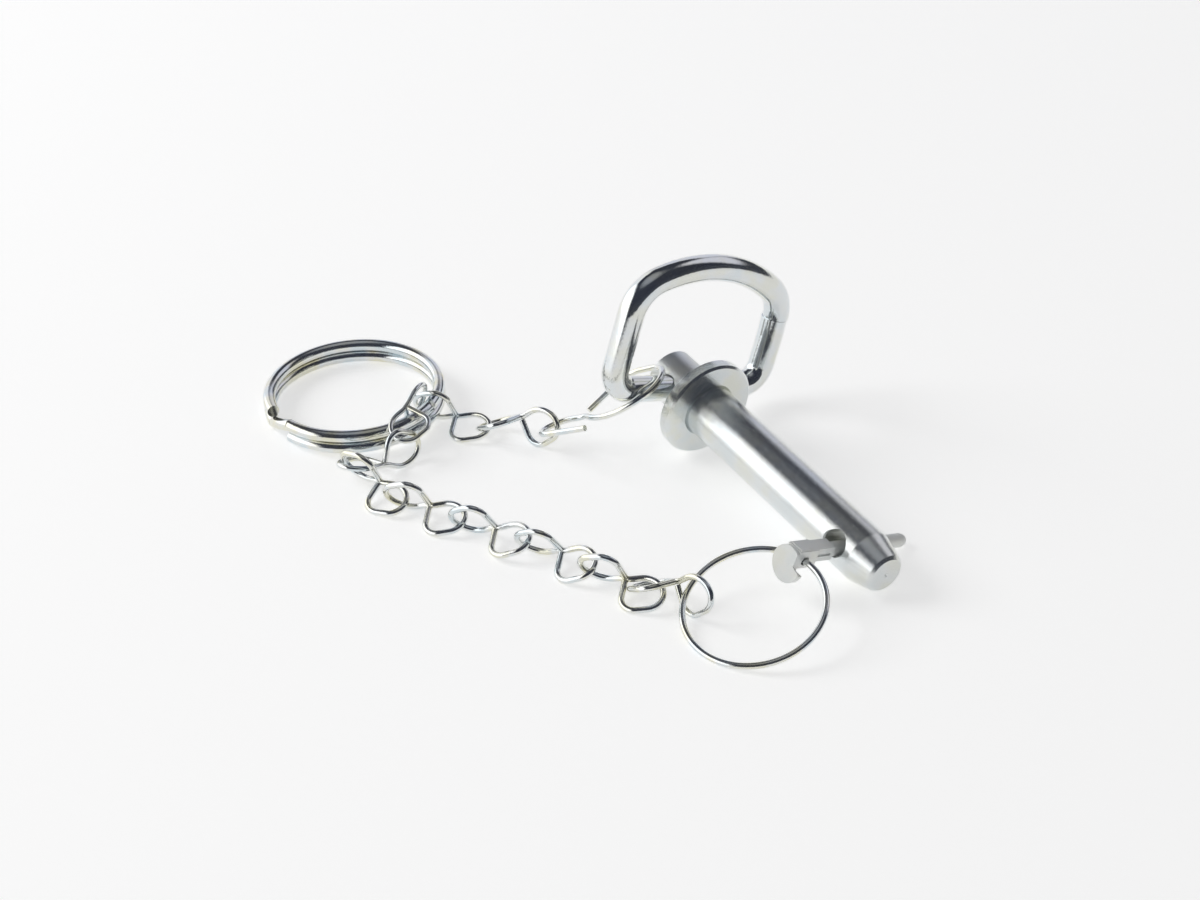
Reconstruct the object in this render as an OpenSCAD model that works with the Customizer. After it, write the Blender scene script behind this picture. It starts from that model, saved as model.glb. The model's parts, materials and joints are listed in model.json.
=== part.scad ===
// Hitch pin with bail handle, linchpin, single jack chain and split ring, lying on a table.
// Lengths are in millimetres, angles in degrees, and the table top is z = 0.
// The pin lies along X with its nose to +X, resting on the rim of its collar and on its nose.

/* [Pin] */
// Diameter of the pin
pin_d = 19; // [16:0.5:24]
// Length from the collar's front face to the end of the nose
pin_len = 99; // [70:1:140]
// Length of the stub from the collar's front face to its back end
stub_len = 25; // [24:0.5:34]
// Diameter of the end of the nose
nose_d = 14.3; // [11:0.1:15.5]
// Length of the tapered nose
nose_len = 10; // [5:0.5:14]
// Rounding of the nose edge and of the stub's end
pin_edge = 1; // [0.5:0.1:2]

/* [Collar] */
// Outside diameter of the collar
collar_d = 36; // [30:0.5:46]
// Thickness of the collar
collar_t = 5; // [4:0.25:7]
// Chamfer on the rims of the collar
collar_edge = 0.8; // [0.3:0.1:1.5]

/* [Handle] */
// Diameter of the handle rod
rod_d = 9.5; // [7:0.25:10.5]
// Width of the handle between the centre lines of its legs
handle_w = 69; // [60:1:90]
// Height of the straight legs above the centre line of the bar
handle_leg = 28.5; // [22:0.5:40]
// Centre-line radius of the two bends beside the bar
handle_bend_r = 8.5; // [7.5:0.25:11]
// Centre-line radius of the first shoulder
shoulder_r = 14; // [8:0.5:18]
// Angle of the first shoulder away from the leg
shoulder_turn = 67; // [60:1:75]
// Centre-line radius of the arch
arch_r = 60; // [50:1:90]
// Angle that the arch turns through
arch_turn = 53; // [45:1:56]
// Distance of the handle hole behind the collar's front face
handle_hole_at = 15.1; // [12:0.1:20]
// Direction of the handle hole about the pin, down towards +Y
handle_hole_turn = 19; // [0:1:30]
// Lean of the handle away from the nose
handle_lean = 7; // [-30:1:60]
// Radial running clearance of the bar in its hole
handle_play = 0.1; // [0.02:0.01:0.1]

/* [Linchpin] */
// Diameter of the linchpin shank
linch_d = 4.9; // [3:0.1:6]
// Length of the linchpin from the pin's axis to its tip
linch_tip = 24.8; // [16:0.2:30]
// Distance from the pin's axis to the outer face of the linchpin's head
linch_head = 28.2; // [24:0.2:36]
// Diameter of the cross hole that the linchpin passes through
linch_hole_d = 9.5; // [8:0.1:11]
// Distance of the cross hole from the collar's front face
linch_hole_at = 81.5; // [50:0.5:90]
// Direction of the cross hole about the pin, down towards +Y
linch_hole_turn = 26; // [0:1:45]
// Direction of the linchpin, which lies askew in its wide hole
linch_turn = 18; // [0:1:45]
// Wire diameter of the linchpin's ring
linch_ring_wire = 2.2; // [1.6:0.1:3]
// Centre-line radius of the linchpin's ring
linch_ring_r = 23.3; // [18:0.1:30]

/* [Split ring] */
// Wire diameter of the split ring
split_wire = 4.5; // [3:0.1:5]
// Centre-line radius of the split ring
split_r = 30.9; // [26:0.1:36]
// Angle over which one turn steps down to the other
split_step = 24; // [16:1:40]

/* [Chain] */
// Wire diameter of the chain
wire_d = 1.9; // [1.6:0.05:2.2]
// Straight part in the middle of a link, to each side
link_mid = 1; // [0.5:0.1:2]
// Outward bend beside the middle of a link
link_flare = 15; // [5:1:30]
// Centre-line radius of the tip of a link's loop
link_tip_r = 5.3; // [4:0.1:7]
// Centre-line radius of the back corner of a link's loop
link_heel_r = 5; // [3:0.1:6]
// Radius of the outer side of a link's loop, beside its flare
link_side_r = 8.5; // [7:0.1:11]
// Gap between a cut end of a link and the middle of its wire
link_end_gap = 0.25; // [0.1:0.05:0.6]
// Reach of the opened end link's large loop
end_loop_len = 33; // [28:0.5:38]

/* [Hidden] */
$fn = 48;
eps = 0.01;

// The pin rests on the front rim of its collar and on the start of its nose.
body_len = pin_len - nose_len;
nose_dip = atan((collar_d - pin_d) / 2 / (body_len + collar_edge));
axis_z = collar_d / 2 * cos(nose_dip) - collar_edge * sin(nose_dip);

// Linchpin: it lies low in its hole, and its ring passes through the head.
linch_drop = 0.9;
ring_eye_at = 24;
ring_eye_drop = 1.6;
ring_eye_play = 0.5;
ring_heading = -75;
// The eye on the table's axes, and how far the ring dips from there to the table.
eye_y = -ring_eye_at * cos(linch_turn) - (linch_drop + ring_eye_drop) * sin(linch_turn);
eye_up = ring_eye_at * sin(linch_turn) - (linch_drop + ring_eye_drop) * cos(linch_turn);
eye = [linch_hole_at * cos(nose_dip) + eye_up * sin(nose_dip), eye_y,
       axis_z - linch_hole_at * sin(nose_dip) + eye_up * cos(nose_dip)];
ring_dip = asin((eye[2] - linch_ring_wire / 2) / 2 / linch_ring_r);

zinc = [0.80, 0.81, 0.82];
bright = [0.86, 0.87, 0.88];
dull = [0.72, 0.73, 0.72];

// ---- bent wire -------------------------------------------------------------
// A wire is a list of steps, each [feed, turn, radius]: it runs straight for
// feed, then bends by turn degrees (left is positive) at the centre-line radius.

// Place and heading [x, y, heading] of the wire after one step.
function after(s, step) =
    let (x = s[0] + step[0] * cos(s[2]), y = s[1] + step[0] * sin(s[2]),
         side = sign(step[1]), h = s[2] + step[1], r = step[2] * side)
    [x - r * sin(s[2]) + r * sin(h), y + r * cos(s[2]) - r * cos(h), h];

// Place and heading after the first n steps.
function trace(steps, n, s = [0, 0, 0], i = 0) =
    i == n ? s : trace(steps, n, after(s, steps[i]), i + 1);

// Stations [x, y, heading] along a wire's steps, from its start, every few degrees of bend.
bend_step = 15;
function stations(steps, s = [0, 0, 0], i = 0) =
    i == len(steps) ? [] :
    let (n = max(1, ceil(abs(steps[i][1]) / bend_step)), part = steps[i][1] / n,
         run = after(s, [steps[i][0], 0, 0]))
    concat(steps[i][0] > 0.01 ? [run] : [],
           steps[i][1] == 0 ? [] : [for (k = [1:n]) after(run, [0, part * k, steps[i][2]])],
           stations(steps, after(s, steps[i]), i + 1));

// The wire's outline at a station in the XY plane: m points at radius r.
function outline(p, r, m) = [for (k = [0:m - 1]) let (a = 360 * k / m)
    [p[0] - r * cos(a) * sin(p[2]), p[1] + r * cos(a) * cos(p[2]), r * sin(a)]];

// One closed solid through a list of outlines.
module swept(rings) {
    n = len(rings);
    m = len(rings[0]);
    polyhedron(points = [for (r = rings) for (q = r) q],
        faces = concat([[for (k = [0:m - 1]) k]], [[for (k = [m - 1:-1:0]) (n - 1) * m + k]],
            [for (i = [0:n - 2]) for (k = [0:m - 1]) let (k2 = (k + 1) % m)
                each [[i * m + k, (i + 1) * m + k, (i + 1) * m + k2],
                      [i * m + k, (i + 1) * m + k2, i * m + k2]]]));
}

// ---- handle's shape --------------------------------------------------------
// The bar is a plain cylinder. One arm goes up the first leg, over the arch and down to
// the cut end of the other leg, which leans in a little where the two meet.
bar_half = handle_w / 2 - handle_bend_r;
leg_run = handle_leg - handle_bend_r;
socket = 2;
rod_sides = 24;
leg_lean = 4;
end_gap = 0.15;
arm_start = [bar_half - socket, 0, 0];
first_arm = [[socket, 90, handle_bend_r], [leg_run, shoulder_turn, shoulder_r], [0, arch_turn, arch_r]];
arch_end = trace(first_arm, 3, arm_start);
far_shoulder_r = (handle_w / 2 + arch_end[0]) / (1 - sin(arch_end[2] - 180));
far_turn = 180 - leg_lean - shoulder_turn - arch_turn;
long_arm = concat(first_arm, [[0, far_turn, far_shoulder_r]]);
meet = trace(long_arm, 4, arm_start);
lean_steps = [[socket, 90, handle_bend_r], [leg_run - 9, leg_lean, 12]];
lean_at = trace(lean_steps, 2, arm_start);
short_arm = concat(lean_steps, [[(meet[1] - end_gap - lean_at[1]) / cos(leg_lean), 0, 0]]);

// ---- split ring's place ----------------------------------------------------
// It lies on the table and on the lower wire of the ninth link.
split_at = [-94.15, -90.9];
split_lift = wire_d + 0.25;
lift_at = 34;
split_tip = asin(split_lift / 2 / split_r);

// ---- origin -----------------------------------------------------------------
// The middle of the whole set's outline on the table goes to the origin. The outline
// runs from the split ring to the linchpin's ring along X, and to the handle along Y.
ring_half_x = linch_ring_r * sqrt(1 - pow(sin(ring_dip) * cos(ring_heading), 2));
x_max = eye[0] + linch_ring_r * cos(ring_dip) * cos(ring_heading) + ring_half_x + linch_ring_wire / 2;
x_min = split_at[0] - split_r - split_wire / 2;
y_min = split_at[1] - split_r - split_wire / 2;
far_a = -arch_end[0] + far_shoulder_r * sin(arch_end[2]);
far_b = (arch_end[1] + far_shoulder_r * cos(arch_end[2])) * cos(handle_lean);
y_max = far_a * cos(handle_hole_turn) + far_b * sin(handle_hole_turn)
    + (far_shoulder_r + rod_d / 2) * norm([cos(handle_hole_turn), cos(handle_lean) * sin(handle_hole_turn)]);
home = [-(x_max + x_min) / 2, -(y_max + y_min) / 2, 0];

// ---- places ----------------------------------------------------------------
module on_pin() {
    translate(home + [0, 0, axis_z]) rotate([0, nose_dip, 0]) children();
}

module on_linchpin() {
    on_pin() translate([linch_hole_at, 0, 0]) rotate([-linch_turn, 0, 0])
        translate([0, 0, -linch_drop]) children();
}

// ---- pin -------------------------------------------------------------------
module cross_hole(at, turn, d, edge) {
    translate([at, 0, 0]) rotate([-turn, 0, 0]) rotate([90, 0, 0]) {
        cylinder(d = d, h = pin_d * 2, center = true);
        for (side = [0, 1]) mirror([0, 0, side])
            translate([0, 0, pin_d / 2 - edge]) cylinder(d1 = d, d2 = d + 4 * edge, h = 2 * edge);
    }
}

module pin_bar() {
    color(zinc) on_pin() difference() {
        rotate([0, 90, 0]) rotate_extrude() polygon([
            [0, -stub_len], [pin_d / 2 - pin_edge, -stub_len], [pin_d / 2, -stub_len + pin_edge],
            [pin_d / 2, body_len], [nose_d / 2, pin_len - pin_edge],
            [nose_d / 2 - pin_edge, pin_len], [0.9, pin_len], [0, pin_len - 0.5]]);
        cross_hole(linch_hole_at, linch_hole_turn, linch_hole_d, 0.5);
        cross_hole(-handle_hole_at, handle_hole_turn, rod_d + 2 * handle_play, 0.3);
    }
}

module collar() {
    color(bright) on_pin() rotate([0, 90, 0]) rotate_extrude() polygon([
        [pin_d / 2, -collar_t], [collar_d / 2 - collar_edge, -collar_t],
        [collar_d / 2, -collar_t + collar_edge], [collar_d / 2, -collar_edge],
        [collar_d / 2 - collar_edge, 0], [pin_d / 2 + 0.7, 0], [pin_d / 2, -0.7]]);
}

// ---- handle ----------------------------------------------------------------
module in_handle() {
    on_pin() translate([-handle_hole_at, 0, 0]) rotate([-handle_hole_turn, 0, 0])
        rotate([0, -handle_lean, 0]) children();
}

module arm(steps) {
    swept([for (p = concat([arm_start], stations(steps, arm_start))) outline(p, rod_d / 2 - 0.02, rod_sides)]);
}

module handle() {
    color(zinc) in_handle() {
        rotate([90, 0, 0]) cylinder(d = rod_d, h = 2 * bar_half, center = true);
        rotate([90, 0, 90]) arm(short_arm);
        mirror([0, 1, 0]) rotate([90, 0, 90]) arm(long_arm);
    }
}

// ---- linchpin --------------------------------------------------------------
head_w = 6.4;
head_top = 2.6;
plate_t = 2.2;
plate_d = 12.8;

module linchpin() {
    block_end = -linch_head + plate_t;
    block_start = -18.5;
    neck_end = -11.5;
    reach = linch_tip - neck_end;
    color(dull) difference() {
        on_linchpin() difference() {
            union() {
                // round shank with a rounded point
                rotate([-90, 0, 0]) translate([0, 0, neck_end]) rotate_extrude() polygon([
                    [0, 0], [linch_d / 2 - 0.6, 0], [linch_d / 2, 1.2], [linch_d / 2, reach - 2.5],
                    [linch_d / 2 - 0.5, reach - 1], [linch_d / 2 - 1.3, reach], [0, reach]]);
                // pressed neck, flat on top
                translate([-linch_d / 2 - 0.2, block_start - 1, -head_top + 0.3])
                    cube([linch_d + 0.4, neck_end - block_start + 1.6, 2 * head_top - 0.3]);
                // block with the eye
                translate([-head_w / 2, block_end - 1, -head_top - 1.2])
                    cube([head_w, block_start - block_end + 1, 2 * head_top + 1.2]);
                // end plate: as wide as the block above, a round flange below
                intersection() {
                    translate([0, -linch_head, head_top - plate_d / 2 + 0.02])
                        rotate([-90, 0, 0]) cylinder(d = plate_d, h = plate_t);
                    union() {
                        translate([-head_w / 2, -linch_head - 1, -plate_d])
                            cube([head_w, plate_t + 2, plate_d + head_top]);
                        translate([-plate_d, -linch_head - 1, -plate_d - 4.6])
                            cube([2 * plate_d, plate_t + 2, plate_d]);
                    }
                }
            }
            // pressed grooves along the neck
            for (side = [-1, 1]) translate([side * (linch_d / 2 + 0.2), (block_start + neck_end) / 2, 0])
                cube([1.2, neck_end - block_start - 1.4, 1.1], center = true);
        }
        // the eye follows the ring, with play
        on_ring() rotate([0, 0, 150]) rotate_extrude(angle = 60)
            translate([linch_ring_r, 0]) circle(d = linch_ring_wire + 2 * ring_eye_play);
    }
}

// The ring hangs from the eye and its far side lies on the table. Its ends meet in the eye.
module on_ring() {
    translate(home + eye) rotate([0, 0, ring_heading]) rotate([0, ring_dip, 0])
        translate([linch_ring_r, 0, 0]) children();
}

module linchpin_ring() {
    gap = asin(0.15 / linch_ring_r);
    color(bright) on_ring() rotate([0, 0, 180 + gap]) rotate_extrude(angle = 360 - 2 * gap)
        translate([linch_ring_r, 0]) circle(d = linch_ring_wire);
}

// ---- split ring ------------------------------------------------------------
module split_ring() {
    lift = split_wire + 0.1;
    half = split_step / 2;
    tilt = asin(lift / 2 / (split_r * sin(half)));
    reach = atan(tan(half) * cos(tilt));
    color(bright) translate(home + [split_at[0], split_at[1], split_wire / 2 + split_lift / 2])
    rotate([0, 0, lift_at]) rotate([0, -split_tip, 0]) rotate([0, 0, -87 - lift_at]) {
        rotate([0, 0, reach]) rotate_extrude(angle = 360 - 2 * reach) translate([split_r, 0]) circle(d = split_wire);
        translate([0, 0, lift]) rotate([0, 0, reach]) rotate_extrude(angle = 360 - 2 * reach)
            translate([split_r, 0]) circle(d = split_wire);
        translate([0, 0, lift / 2]) rotate([tilt, 0, 0]) rotate([0, 0, -half]) rotate_extrude(angle = 2 * half)
            translate([split_r, 0]) circle(d = split_wire);
    }
}

// ---- chain -----------------------------------------------------------------
// Half a link is one loop in the XY plane: from the middle of the link along +X,
// out by the flare, round the tip, round the heel and back to the middle.
side_feed = 3;
end_y = -(wire_d / 2 + link_end_gap);

// The last two straights are as long as it takes to come back to the middle.
function closed(steps) =
    let (s = trace(steps, 4), h1 = steps[0][1] + steps[1][1] + steps[2][1], h2 = h1 + steps[3][1],
         dx = -s[0], dy = end_y - s[1], det = cos(h1) * sin(h2) - sin(h1) * cos(h2),
         back = (dx * sin(h2) - dy * cos(h2)) / det, up = (cos(h1) * dy - sin(h1) * dx) / det)
    [steps[0], steps[1], steps[2], [back, steps[3][1], steps[3][2]], [up, 0, 0]];

small_loop = closed([[link_mid, link_flare, 3], [side_feed, -64, link_side_r],
                     [0, -116, link_tip_r], [0, -98, link_heel_r]]);

// A link is one wire: from the end of one loop, through its middle, to the end of the other.
// The second loop lies in the XY plane; the first lies across it, turned by twist about X.
wire_sides = 10;
facet_r = wire_d / 2 * 1.027;

function across(p, twist) = [for (k = [0:wire_sides - 1]) let (a = 360 * k / wire_sides - twist,
    y = facet_r * cos(a), z = -p[1] + facet_r * sin(a) * cos(p[2]))
    [-p[0] - facet_r * sin(a) * sin(p[2]), y * cos(twist) - z * sin(twist), y * sin(twist) + z * cos(twist)]];

module wire_link(loop_a, loop_b, twist = 0) {
    sa = stations(loop_a);
    swept(concat([for (i = [len(sa) - 1:-1:0]) across(sa[i], twist)],
                 [for (p = stations(loop_b)) outline(p, facet_r, wire_sides)]));
}

module link() {
    wire_link(small_loop, small_loop);
}

// The end link is opened: its large loop goes round the handle's bar and its end stands off.
end_loop_twist = 98;
end_loop_open = 5;
full_loop = closed([[link_mid, 5, 4], [end_loop_len / 3, -60, end_loop_len * 0.53],
                    [0, -125, end_loop_len * 0.3], [0, -70, 9]]);
big_loop = concat([for (i = [0:3]) full_loop[i]], [[full_loop[4][0] - end_loop_open, 0, 0]]);

// Each link's place, heading, rise and roll about its own length.
link_pose = [
    [63.4, -58.3, 8.4, 15.5, 30.5, 74],
    [49.1, -68.5, 4.5, 35, 7.5, 21],
    [25, -77.6, 4.6, 28.5, 18, 26],
    [2.1, -89.4, 4.6, 33, 18, 21],
    [-21.9, -101.2, 4, 37, 10.5, 19.5],
    [-42.6, -109.1, 4.7, 20.5, 2, 19.5],
    [-50.7, -102.8, 4.5, 96.5, -17, 257.5],
    [-66.2, -85.1, 13.9, -59, -13.5, 172],
    [-64.8, -65.4, 3.3, 37, 9, 14.5],
    [-44.8, -50.1, 8.6, 30, 28.5, 73],
    [-27.3, -34.9, 12.7, 18.7, 31.2, 195.4]];

module posed(n) {
    p = link_pose[n - 1];
    color(bright) translate(home + [p[0], p[1], p[2]]) rotate([0, -p[4], p[3]]) rotate([p[5], 0, 0]) children();
}

module chain_link(n) {
    posed(n) link();
}

module end_link() {
    posed(11) wire_link(small_loop, big_loop, end_loop_twist);
}

pin_bar();
collar();
handle();
linchpin();
linchpin_ring();
split_ring();
chain_link(1);  // chain_link_01
chain_link(2);  // chain_link_02
chain_link(3);  // chain_link_03
chain_link(4);  // chain_link_04
chain_link(5);  // chain_link_05
chain_link(6);  // chain_link_06
chain_link(7);  // chain_link_07
chain_link(8);  // chain_link_08
chain_link(9);  // chain_link_09
chain_link(10);  // chain_link_10
end_link();  // chain_link_11
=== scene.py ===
import json
import math

import bpy
from mathutils import Matrix, Vector


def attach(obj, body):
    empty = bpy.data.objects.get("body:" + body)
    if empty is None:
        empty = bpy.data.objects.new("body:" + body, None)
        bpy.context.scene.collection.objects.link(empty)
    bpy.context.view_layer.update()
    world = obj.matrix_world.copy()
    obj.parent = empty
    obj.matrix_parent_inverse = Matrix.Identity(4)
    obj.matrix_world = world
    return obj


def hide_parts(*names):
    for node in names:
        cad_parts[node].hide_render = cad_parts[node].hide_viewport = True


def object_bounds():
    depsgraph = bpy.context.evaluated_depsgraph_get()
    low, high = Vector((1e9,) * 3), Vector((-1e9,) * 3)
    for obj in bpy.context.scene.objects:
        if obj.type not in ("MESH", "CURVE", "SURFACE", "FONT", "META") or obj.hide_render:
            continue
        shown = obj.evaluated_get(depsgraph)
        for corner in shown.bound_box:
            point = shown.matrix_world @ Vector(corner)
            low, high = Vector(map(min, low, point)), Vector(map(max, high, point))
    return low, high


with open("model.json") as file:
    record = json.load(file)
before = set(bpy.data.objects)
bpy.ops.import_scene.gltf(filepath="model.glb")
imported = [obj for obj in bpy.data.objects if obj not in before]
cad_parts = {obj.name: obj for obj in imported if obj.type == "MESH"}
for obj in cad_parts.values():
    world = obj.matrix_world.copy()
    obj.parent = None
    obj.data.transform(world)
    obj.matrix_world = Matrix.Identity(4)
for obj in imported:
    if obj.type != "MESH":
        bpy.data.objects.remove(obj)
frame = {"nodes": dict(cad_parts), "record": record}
nodes = frame["nodes"]
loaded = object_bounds()
scene = bpy.context.scene
MM = 0.001

# The frame's origin is under the middle of the set. These two points fix the view.
AIM = Vector((-0.014169, 0.007350, 0.0))
EYE = Vector((0.538431, -0.359750, 0.4646))


# ---- camera ------------------------------------------------------------------
cam_data = bpy.data.cameras.new("camera")
cam_data.sensor_width = 36.0
cam_data.lens = 68.1
cam_data.clip_start = 0.01
camera = bpy.data.objects.new("camera", cam_data)
scene.collection.objects.link(camera)
camera.location = EYE
camera.rotation_euler = (AIM - EYE).to_track_quat("-Z", "Y").to_euler()
scene.camera = camera

scene.view_settings.view_transform = "Standard"


# ---- node helpers ------------------------------------------------------------
def new_material(name):
    mat = bpy.data.materials.new(name)
    mat.use_nodes = True
    tree = mat.node_tree
    return mat, tree, tree.nodes["Principled BSDF"]


def node(tree, kind, **settings):
    made = tree.nodes.new(kind)
    for key, value in settings.items():
        if key.startswith("in_"):
            made.inputs[key[3:].replace("_", " ")].default_value = value
        else:
            setattr(made, key, value)
    return made


def ramp(tree, source, stops):
    made = tree.nodes.new("ShaderNodeValToRGB")
    band = made.color_ramp
    band.elements[0].position, band.elements[0].color = stops[0][0], (*stops[0][1], 1)
    band.elements[1].position, band.elements[1].color = stops[-1][0], (*stops[-1][1], 1)
    for place, colour in stops[1:-1]:
        band.elements.new(place).color = (*colour, 1)
    tree.links.new(source, made.inputs["Fac"])
    return made.outputs["Color"]


def rises(tree, value, start, end):
    """0 up to start and 1 from end on, smoothly between. It falls where end is below start."""
    made = node(tree, "ShaderNodeMapRange", interpolation_type="SMOOTHSTEP")
    tree.links.new(value, made.inputs["Value"])
    made.inputs["From Min"].default_value = start
    made.inputs["From Max"].default_value = end
    return made.outputs["Result"]


def times(tree, a, b):
    made = node(tree, "ShaderNodeMath", operation="MULTIPLY")
    tree.links.new(a, made.inputs[0])
    tree.links.new(b, made.inputs[1])
    return made.outputs["Value"]


# ---- zinc plating ------------------------------------------------------------
EDGE = 0.0002  # metres over which a duller stretch ends


def zinc(name, base, rough, grain, grain_size, tint=0.5, bump=0.02, coarse=None, metal=1.0):
    """Bright zinc: a faint blue-yellow bloom, fine grain in the gloss and a soft ripple.

    coarse is (start, end, added roughness) for a stretch along X, in metres, that is duller.
    """
    mat, tree, bsdf = new_material(name)
    link = tree.links.new
    coords = node(tree, "ShaderNodeTexCoord")
    bloom = node(tree, "ShaderNodeTexNoise", in_Scale=90.0, in_Detail=3.0)
    link(coords.outputs["Object"], bloom.inputs["Vector"])
    low = tuple(c * (1 - 0.05 * tint * k) for c, k in zip(base, (2.2, 1.0, 0.0)))
    high = tuple(c * (1 - 0.05 * tint * k) for c, k in zip(base, (0.0, 0.6, 3.2)))
    colour = ramp(tree, bloom.outputs["Fac"], [(0.38, low), (0.5, base), (0.62, high)])
    link(colour, bsdf.inputs["Base Color"])
    fine = node(tree, "ShaderNodeTexNoise", in_Scale=grain_size, in_Detail=4.0, in_Roughness=0.6)
    link(coords.outputs["Object"], fine.inputs["Vector"])
    gloss = ramp(tree, fine.outputs["Fac"], [(0.35, (rough,) * 3), (0.7, (rough + grain,) * 3)])
    relief = node(tree, "ShaderNodeBump", in_Strength=bump, in_Distance=0.001)
    if coarse:
        start, end, added = coarse
        place = node(tree, "ShaderNodeSeparateXYZ")
        link(coords.outputs["Object"], place.inputs["Vector"])
        along_x = place.outputs["X"]
        inside = times(tree, rises(tree, along_x, start - EDGE, start),
                       rises(tree, along_x, end + EDGE, end))
        more = node(tree, "ShaderNodeMath", operation="MULTIPLY_ADD")
        link(inside, more.inputs[0])
        more.inputs[1].default_value = added
        link(gloss, more.inputs[2])
        gloss = more.outputs["Value"]
    link(gloss, bsdf.inputs["Roughness"])
    link(fine.outputs["Fac"], relief.inputs["Height"])
    link(relief.outputs["Normal"], bsdf.inputs["Normal"])
    bsdf.inputs["Metallic"].default_value = metal
    return mat


slots = {
    # the stub behind the collar is duller
    "zinc_bar": zinc("zinc_bar", (0.73, 0.75, 0.745), rough=0.13, grain=0.15, grain_size=2200.0,
                     tint=0.4, bump=0.1, coarse=(-0.03, 0.003, 0.15), metal=0.9),
    "zinc_bright": zinc("zinc_bright", (0.74, 0.76, 0.75), rough=0.07, grain=0.08,
                        grain_size=900.0, bump=0.04, coarse=(0.0, 0.012, 0.1), metal=0.94),
    "zinc_rod": zinc("zinc_rod", (0.74, 0.76, 0.76), rough=0.06, grain=0.07, grain_size=1200.0,
                     bump=0.03, metal=0.97),
    # pressed, and seen as pale and nearly matt
    "zinc_dull": zinc("zinc_dull", (0.78, 0.79, 0.77), rough=0.36, grain=0.2, grain_size=1600.0,
                      tint=0.3, bump=0.15, metal=0.35),
    "zinc_wire": zinc("zinc_wire", (0.75, 0.76, 0.745), rough=0.06, grain=0.08,
                      grain_size=1800.0, tint=1.1, bump=0.04, metal=0.95),
}
slot_of = {part["node"]: part["material_slot"] for part in frame["record"]["subparts"]}
for name, slot in slot_of.items():
    mesh = nodes[name].data
    for place in range(len(mesh.materials)):
        mesh.materials[place] = slots[slot]
    if not mesh.materials:
        mesh.materials.append(slots[slot])


# ---- bent wire ---------------------------------------------------------------
# A wire is a list of steps (feed, turn, radius), in millimetres and degrees, as in the CAD.
def turned(axis, degrees):
    return Matrix.Rotation(math.radians(degrees), 4, axis)


def moved(x, y, z):
    return Matrix.Translation((x, y, z))


def after(state, step):
    x, y, heading = state
    feed, turn, radius = step
    x += feed * math.cos(heading)
    y += feed * math.sin(heading)
    side = radius * math.copysign(1, turn) if turn else 0
    end = heading + math.radians(turn)
    return (x + side * (math.sin(end) - math.sin(heading)),
            y - side * (math.cos(end) - math.cos(heading)), end)


def trace(steps, state=(0, 0, 0)):
    for step in steps:
        state = after(state, step)
    return state


BEND_STEP = 4.0


def stations(steps, state=(0, 0, 0)):
    points = []
    for feed, turn, radius in steps:
        run = after(state, (feed, 0, 0))
        if feed > 0.01:
            points.append(run[:2])
        if turn:
            pieces = max(1, math.ceil(abs(turn) / BEND_STEP))
            points += [after(run, (0, turn * k / pieces, radius))[:2]
                       for k in range(1, pieces + 1)]
        state = after(state, (feed, turn, radius))
    return points


def wire(name, points, diameter, node_name, body, sides=5):
    """A round wire along points given in millimetres, in place of a CAD node."""
    data = bpy.data.curves.new(name, "CURVE")
    data.dimensions = "3D"
    data.bevel_depth = diameter / 2 * MM
    data.bevel_resolution = sides
    data.use_fill_caps = True
    spline = data.splines.new("POLY")
    spline.points.add(len(points) - 1)
    for point, place in zip(spline.points, points):
        point.co = (*(Vector(place) * MM), 1)
    spline.use_smooth = True
    data.materials.append(slots[slot_of[node_name]])
    piece = bpy.data.objects.new(name, data)
    scene.collection.objects.link(piece)
    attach(piece, body)
    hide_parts(node_name)
    return piece


# The CAD measures from under the pin's collar. The frame's origin is the middle of the set.
HOME = moved(7.80531, 38.7719, 0)

# ---- handle ------------------------------------------------------------------
# Sizes of the CAD, in millimetres and degrees, under its names.
PIN_D, COLLAR_D, COLLAR_EDGE, BODY_LEN = 19.0, 36.0, 0.8, 89.0
ROD_D = 9.5
HANDLE_W, HANDLE_LEG, HANDLE_BEND_R = 69.0, 28.5, 8.5
HANDLE_HOLE_AT, HANDLE_HOLE_TURN, HANDLE_LEAN = 15.1, 19, 7
SHOULDER_TURN, SHOULDER_R = 67, 14
ARCH_TURN, ARCH_R = 53, 60
SOCKET = 2
LEG_LEAN, LEG_LEAN_R, LEG_LEAN_LEN = 4, 12, 9
END_GAP = 0.15

NOSE_DIP = math.degrees(math.atan((COLLAR_D - PIN_D) / 2 / (BODY_LEN + COLLAR_EDGE)))
AXIS_Z = (COLLAR_D / 2 * math.cos(math.radians(NOSE_DIP))
          - COLLAR_EDGE * math.sin(math.radians(NOSE_DIP)))
on_pin = HOME @ moved(0, 0, AXIS_Z) @ turned("Y", NOSE_DIP)
in_handle = (on_pin @ moved(-HANDLE_HOLE_AT, 0, 0) @ turned("X", -HANDLE_HOLE_TURN)
             @ turned("Y", -HANDLE_LEAN))

# One arm goes up the first leg, over the arch and down to the cut end of the other leg.
arm_start = (HANDLE_W / 2 - HANDLE_BEND_R - SOCKET, 0, 0)
leg_run = HANDLE_LEG - HANDLE_BEND_R
first_arm = [(SOCKET, 90, HANDLE_BEND_R), (leg_run, SHOULDER_TURN, SHOULDER_R),
             (0, ARCH_TURN, ARCH_R)]
arch_end = trace(first_arm, arm_start)
far_shoulder_r = (HANDLE_W / 2 + arch_end[0]) / (1 - math.sin(arch_end[2] - math.pi))
far_turn = 180 - LEG_LEAN - SHOULDER_TURN - ARCH_TURN
long_arm = first_arm + [(0, far_turn, far_shoulder_r)]
meet = trace(long_arm, arm_start)
lean_steps = [(SOCKET, 90, HANDLE_BEND_R), (leg_run - LEG_LEAN_LEN, LEG_LEAN, LEG_LEAN_R)]
lean_at = trace(lean_steps, arm_start)
rest = (meet[1] - END_GAP - lean_at[1]) / math.cos(math.radians(LEG_LEAN))
short_arm = lean_steps + [(rest, 0, 0)]
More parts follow.
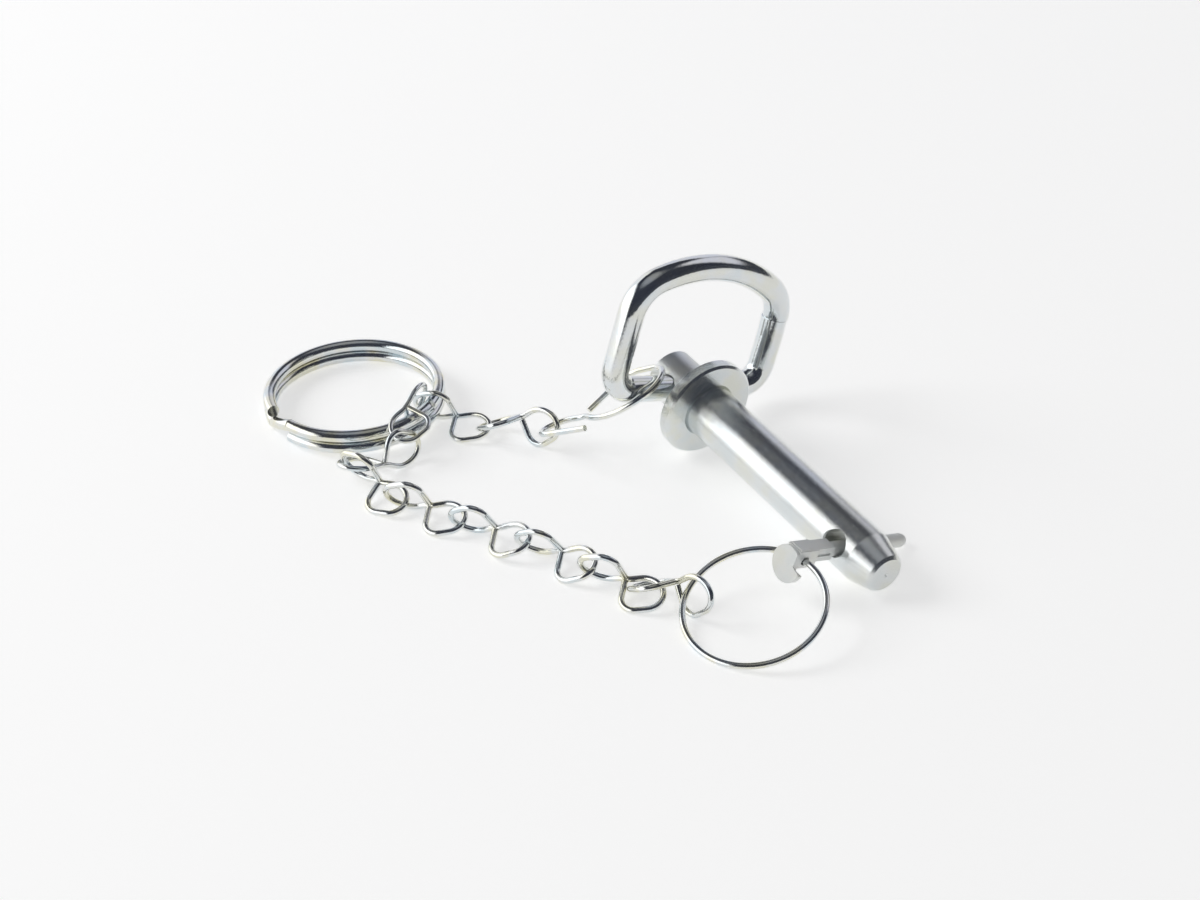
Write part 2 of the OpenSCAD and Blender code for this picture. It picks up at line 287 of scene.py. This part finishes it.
path = [(0, -x, y) for x, y in reversed(stations(long_arm, arm_start))]
path += [(0, -arm_start[0], 0), (0, arm_start[0], 0)]
path += [(0, x, y) for x, y in stations(short_arm, arm_start)]
wire("handle_rod", [in_handle @ Vector(p) for p in path], ROD_D, "handle", "handle", 12)

# ---- chain -------------------------------------------------------------------
WIRE_D, LINK_END_GAP = 1.9, 0.25
END_Y = -(WIRE_D / 2 + LINK_END_GAP)


def closed(steps):
    """The last two straights are as long as it takes to come back to the middle."""
    x, y, _ = trace(steps)
    h1 = math.radians(steps[0][1] + steps[1][1] + steps[2][1])
    h2 = h1 + math.radians(steps[3][1])
    dx, dy = -x, END_Y - y
    det = math.cos(h1) * math.sin(h2) - math.sin(h1) * math.cos(h2)
    back = (dx * math.sin(h2) - dy * math.cos(h2)) / det
    up = (math.cos(h1) * dy - math.sin(h1) * dx) / det
    return steps[:3] + [(back, steps[3][1], steps[3][2]), (up, 0, 0)]


small_loop = closed([(1, 15, 3), (3, -64, 8.5), (0, -116, 5.3), (0, -98, 5)])
# The opened end link differs from the CAD's, whose small loop stands clear of link 10. Here
# an open hook goes through link 10, and the large loop ends END_OPEN short of the middle.
END_OPEN = 2
big_loop = closed([(0.6, 22, 3), (1.84, -77, 20.715), (0, -125, 9.9), (0, -70, 9)])
big_loop[4] = (big_loop[4][0] - END_OPEN, 0, 0)
hook = small_loop[:2] + [(0, -116, 5.3), (17.5, 0, 0)]
END_BACK = turned("Z", 42) @ turned("Y", -25) @ turned("X", 78)

# Each link's place, heading, rise and roll about its own length.
LINK_POSE = [
    (63.4, -58.3, 8.4, 15.5, 30.5, 74),
    (49.1, -68.5, 4.5, 35, 7.5, 21),
    (25, -77.6, 4.6, 28.5, 18, 26),
    (2.1, -89.4, 4.6, 33, 18, 21),
    (-21.9, -101.2, 4, 37, 10.5, 19.5),
    (-42.6, -109.1, 4.7, 20.5, 2, 19.5),
    (-50.7, -102.8, 4.5, 96.5, -17, 257.5),
    (-66.2, -85.1, 13.9, -59, -13.5, 172),
    (-64.8, -65.4, 3.3, 37, 9, 14.5),
    (-44.8, -50.1, 8.6, 30, 28.5, 73),
    (-27.3, -34.9, 12.7, 18.7, 31.2, 195.4)]
# Links that lie close to others keep near the CAD's wire. The plated rest looks thicker.
SEEN_D = 2.2
GAUGE = {1: 2.1, 7: 2.0, 8: WIRE_D, 9: 2.0}
for index, (x, y, z, heading, rise, roll) in enumerate(LINK_POSE, 1):
    middle = HOME @ moved(x, y, z)
    pose = middle @ turned("Z", heading) @ turned("Y", -rise) @ turned("X", roll)
    first_loop, second_loop, back = small_loop, small_loop, pose
    if index == len(LINK_POSE):
        first_loop, second_loop, back = hook, big_loop, middle @ END_BACK
    points = [back @ Vector((-a, 0, -b)) for a, b in reversed(stations(first_loop))]
    points += [pose @ Vector((a, b, 0)) for a, b in stations(second_loop)]
    wire(f"link_wire_{index:02d}", points, GAUGE.get(index, SEEN_D),
         f"chain_link_{index:02d}", f"link_{index:02d}", 4)


# ---- linchpin's head ---------------------------------------------------------
def prism(name, outline, start, depth, pose, node_name, body, edge):
    """An outline (x, z) in millimetres, as thick as depth along Y, with softened edges."""
    count = len(outline)
    points = [pose @ Vector((x, y, z)) * MM for y in (start, start + depth) for x, z in outline]
    sides = [(k, (k + 1) % count, count + (k + 1) % count, count + k) for k in range(count)]
    data = bpy.data.meshes.new(name)
    ends = [tuple(range(count))[::-1], tuple(range(count, 2 * count))]
    data.from_pydata(points, [], ends + sides)
    data.update()
    data.materials.append(slots[slot_of[node_name]])
    piece = bpy.data.objects.new(name, data)
    scene.collection.objects.link(piece)
    soft = piece.modifiers.new("edge", "BEVEL")
    soft.width, soft.segments = edge * MM, 2
    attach(piece, body)
    return piece


LINCH_HOLE_AT, LINCH_TURN, LINCH_DROP = 81.5, 18, 0.9
on_linchpin = (on_pin @ moved(LINCH_HOLE_AT, 0, 0) @ turned("X", -LINCH_TURN)
               @ moved(0, 0, -LINCH_DROP))

# The end plate is a disc, cut flush with the block at the upper corner towards the nose.
PLATE_R, PLATE_Z, PLATE_FROM, PLATE_T = 6.45, -3.78, -28.25, 0.7
BLOCK_X, CUT_ABOVE = 3.25, -3.4
DISC_SIDES = 48
disc = []
for k in range(DISC_SIDES):
    angle = 2 * math.pi * k / DISC_SIDES
    x, z = PLATE_R * math.cos(angle), PLATE_Z + PLATE_R * math.sin(angle)
    disc.append((min(x, BLOCK_X) if z > CUT_ABOVE else x, z))
prism("linchpin_plate", disc, PLATE_FROM, PLATE_T, on_linchpin, "linchpin", "linchpin", 0.2)

# The head's top carries the raised flat left by the press.
FLAT_FROM, FLAT_LEN = -26.3, 4.6
flat = [(-2.9, 2.3), (2.9, 2.3), (2.7, 3.05), (-2.7, 3.05)]
prism("linchpin_flat", flat, FLAT_FROM, FLAT_LEN, on_linchpin, "linchpin", "linchpin", 0.12)


# ---- round shapes of the CAD parts -------------------------------------------
MERGE = 2e-6


def rounded(piece, degrees):
    """Joins the mesh's faces and shades its round surfaces smoothly, up to an edge angle."""
    group = bpy.data.node_groups.new("round_shading", "GeometryNodeTree")
    group.interface.new_socket("Geometry", in_out="INPUT", socket_type="NodeSocketGeometry")
    group.interface.new_socket("Geometry", in_out="OUTPUT", socket_type="NodeSocketGeometry")
    first, last = group.nodes.new("NodeGroupInput"), group.nodes.new("NodeGroupOutput")
    merge = node(group, "GeometryNodeMergeByDistance", in_Distance=MERGE)
    angle = group.nodes.new("GeometryNodeInputMeshEdgeAngle")
    sharp = node(group, "FunctionNodeCompare", operation="LESS_THAN")
    sharp.inputs[1].default_value = math.radians(degrees)
    edges = node(group, "GeometryNodeSetShadeSmooth", domain="EDGE")
    faces = node(group, "GeometryNodeSetShadeSmooth", domain="FACE")
    link = group.links.new
    link(first.outputs[0], merge.inputs["Geometry"])
    link(merge.outputs["Geometry"], edges.inputs["Geometry"])
    link(angle.outputs["Unsigned Angle"], sharp.inputs[0])
    link(sharp.outputs[0], edges.inputs["Shade Smooth"])
    link(edges.outputs["Geometry"], faces.inputs["Geometry"])
    link(faces.outputs["Geometry"], last.inputs[0])
    piece.modifiers.new("round_shading", "NODES").node_group = group


for name, degrees in (("pin_bar", 12), ("collar", 12), ("linchpin", 20), ("linchpin_ring", 35),
                      ("split_ring", 35)):
    rounded(nodes[name], degrees)


# ---- table, light ------------------------------------------------------------
paper, tree, bsdf = new_material("paper")
bsdf.inputs["Base Color"].default_value = (0.86, 0.86, 0.86, 1)
bsdf.inputs["Roughness"].default_value = 0.55
bsdf.inputs["Emission Color"].default_value = (1, 1, 1, 1)
bsdf.inputs["Emission Strength"].default_value = 0.45
floor_mesh = bpy.data.meshes.new("table")
HALF, BELOW = 4.0, 0.00002
corners = [(-HALF, -HALF, 0), (HALF, -HALF, 0), (HALF, HALF, 0), (-HALF, HALF, 0)]
floor_mesh.from_pydata(corners, [], [(0, 1, 2, 3)])
floor = bpy.data.objects.new("table", floor_mesh)
floor.location.z = loaded[0][2] - BELOW
floor_mesh.materials.append(paper)
scene.collection.objects.link(floor)

# The room gives even light. In reflections it is dark, with a bright screen on the left, a
# low pale wall beyond the table, a white wall at the far left, a lamp at the far right and
# a dim ceiling. LEFT and AWAY are fixed directions, so none of it follows the camera.
LEFT = (AIM - EYE).cross(Vector((0, 0, 1))).normalized() * -1
AWAY = Vector((AIM.x - EYE.x, AIM.y - EYE.y, 0)).normalized()
world = bpy.data.worlds.new("studio")
scene.world = world
world.use_nodes = True
tree = world.node_tree
tree.nodes.clear()
link = tree.links.new
coords = node(tree, "ShaderNodeTexCoord")


def along(direction):
    dot = node(tree, "ShaderNodeVectorMath", operation="DOT_PRODUCT")
    link(coords.outputs["Generated"], dot.inputs[0])
    dot.inputs[1].default_value = direction
    return dot.outputs["Value"]


def patch(*edges):
    """The part of the room where each (direction, start, end) has risen."""
    first, *others = [rises(tree, *edge) for edge in edges]
    for other in others:
        first = times(tree, first, other)
    return first


def laid_over(under, colour, amount):
    made = node(tree, "ShaderNodeMix", data_type="RGBA")
    link(amount, made.inputs["Factor"])
    link(under, made.inputs[6])
    made.inputs[7].default_value = (*colour, 1)
    return made.outputs[2]


to_left, beyond, up = along(LEFT), along(AWAY), along((0, 0, 1))
room = ramp(tree, up, [(0.0, (0.05, 0.055, 0.07)), (0.45, (0.022, 0.026, 0.042)),
                       (0.86, (0.03, 0.034, 0.05)), (0.97, (0.3, 0.31, 0.33))])
wall = patch((beyond, -0.15, 0.25), (up, 0.58, 0.44), (to_left, -0.5, -0.3))
room = laid_over(room, (0.74, 0.75, 0.84), wall)
far_wall = patch((beyond, 0.25, 0.4), (to_left, 0.15, 0.35), (up, 0.68, 0.6))
room = laid_over(room, (1.0, 1.0, 1.02), far_wall)
right_lamp = patch((to_left, -0.35, -0.5), (up, 0.2, 0.35), (up, 0.85, 0.75),
                   (beyond, 0.15, 0.35))
room = laid_over(room, (0.72, 0.72, 0.8), right_lamp)
screen = patch((to_left, 0.60, 0.72), (up, 0.86, 0.66))
room = laid_over(room, (1.7, 1.71, 1.72), screen)
seen = node(tree, "ShaderNodeBackground", in_Strength=1.0)
link(room, seen.inputs["Color"])
even = node(tree, "ShaderNodeBackground", in_Strength=0.37)
even.inputs["Color"].default_value = (1, 1, 1, 1)
path_node = node(tree, "ShaderNodeLightPath")
mix = node(tree, "ShaderNodeMixShader")
link(path_node.outputs["Is Glossy Ray"], mix.inputs["Fac"])
link(even.outputs["Background"], mix.inputs[1])
link(seen.outputs["Background"], mix.inputs[2])
out = node(tree, "ShaderNodeOutputWorld")
link(mix.outputs["Shader"], out.inputs["Surface"])


def lamp(name, place, size, power):
    data = bpy.data.lights.new(name, "AREA")
    data.shape = "RECTANGLE"
    data.size, data.size_y = size
    data.energy = power
    made = bpy.data.objects.new(name, data)
    scene.collection.objects.link(made)
    made.location = AIM + Vector(place)
    made.rotation_euler = (-Vector(place)).to_track_quat("-Z", "Y").to_euler()
    return made


key = lamp("key", LEFT * 2.1 + AWAY * 0.4 + Vector((0, 0, 1.5)), (1.3, 1.3), 23.5)
key.visible_glossy = False
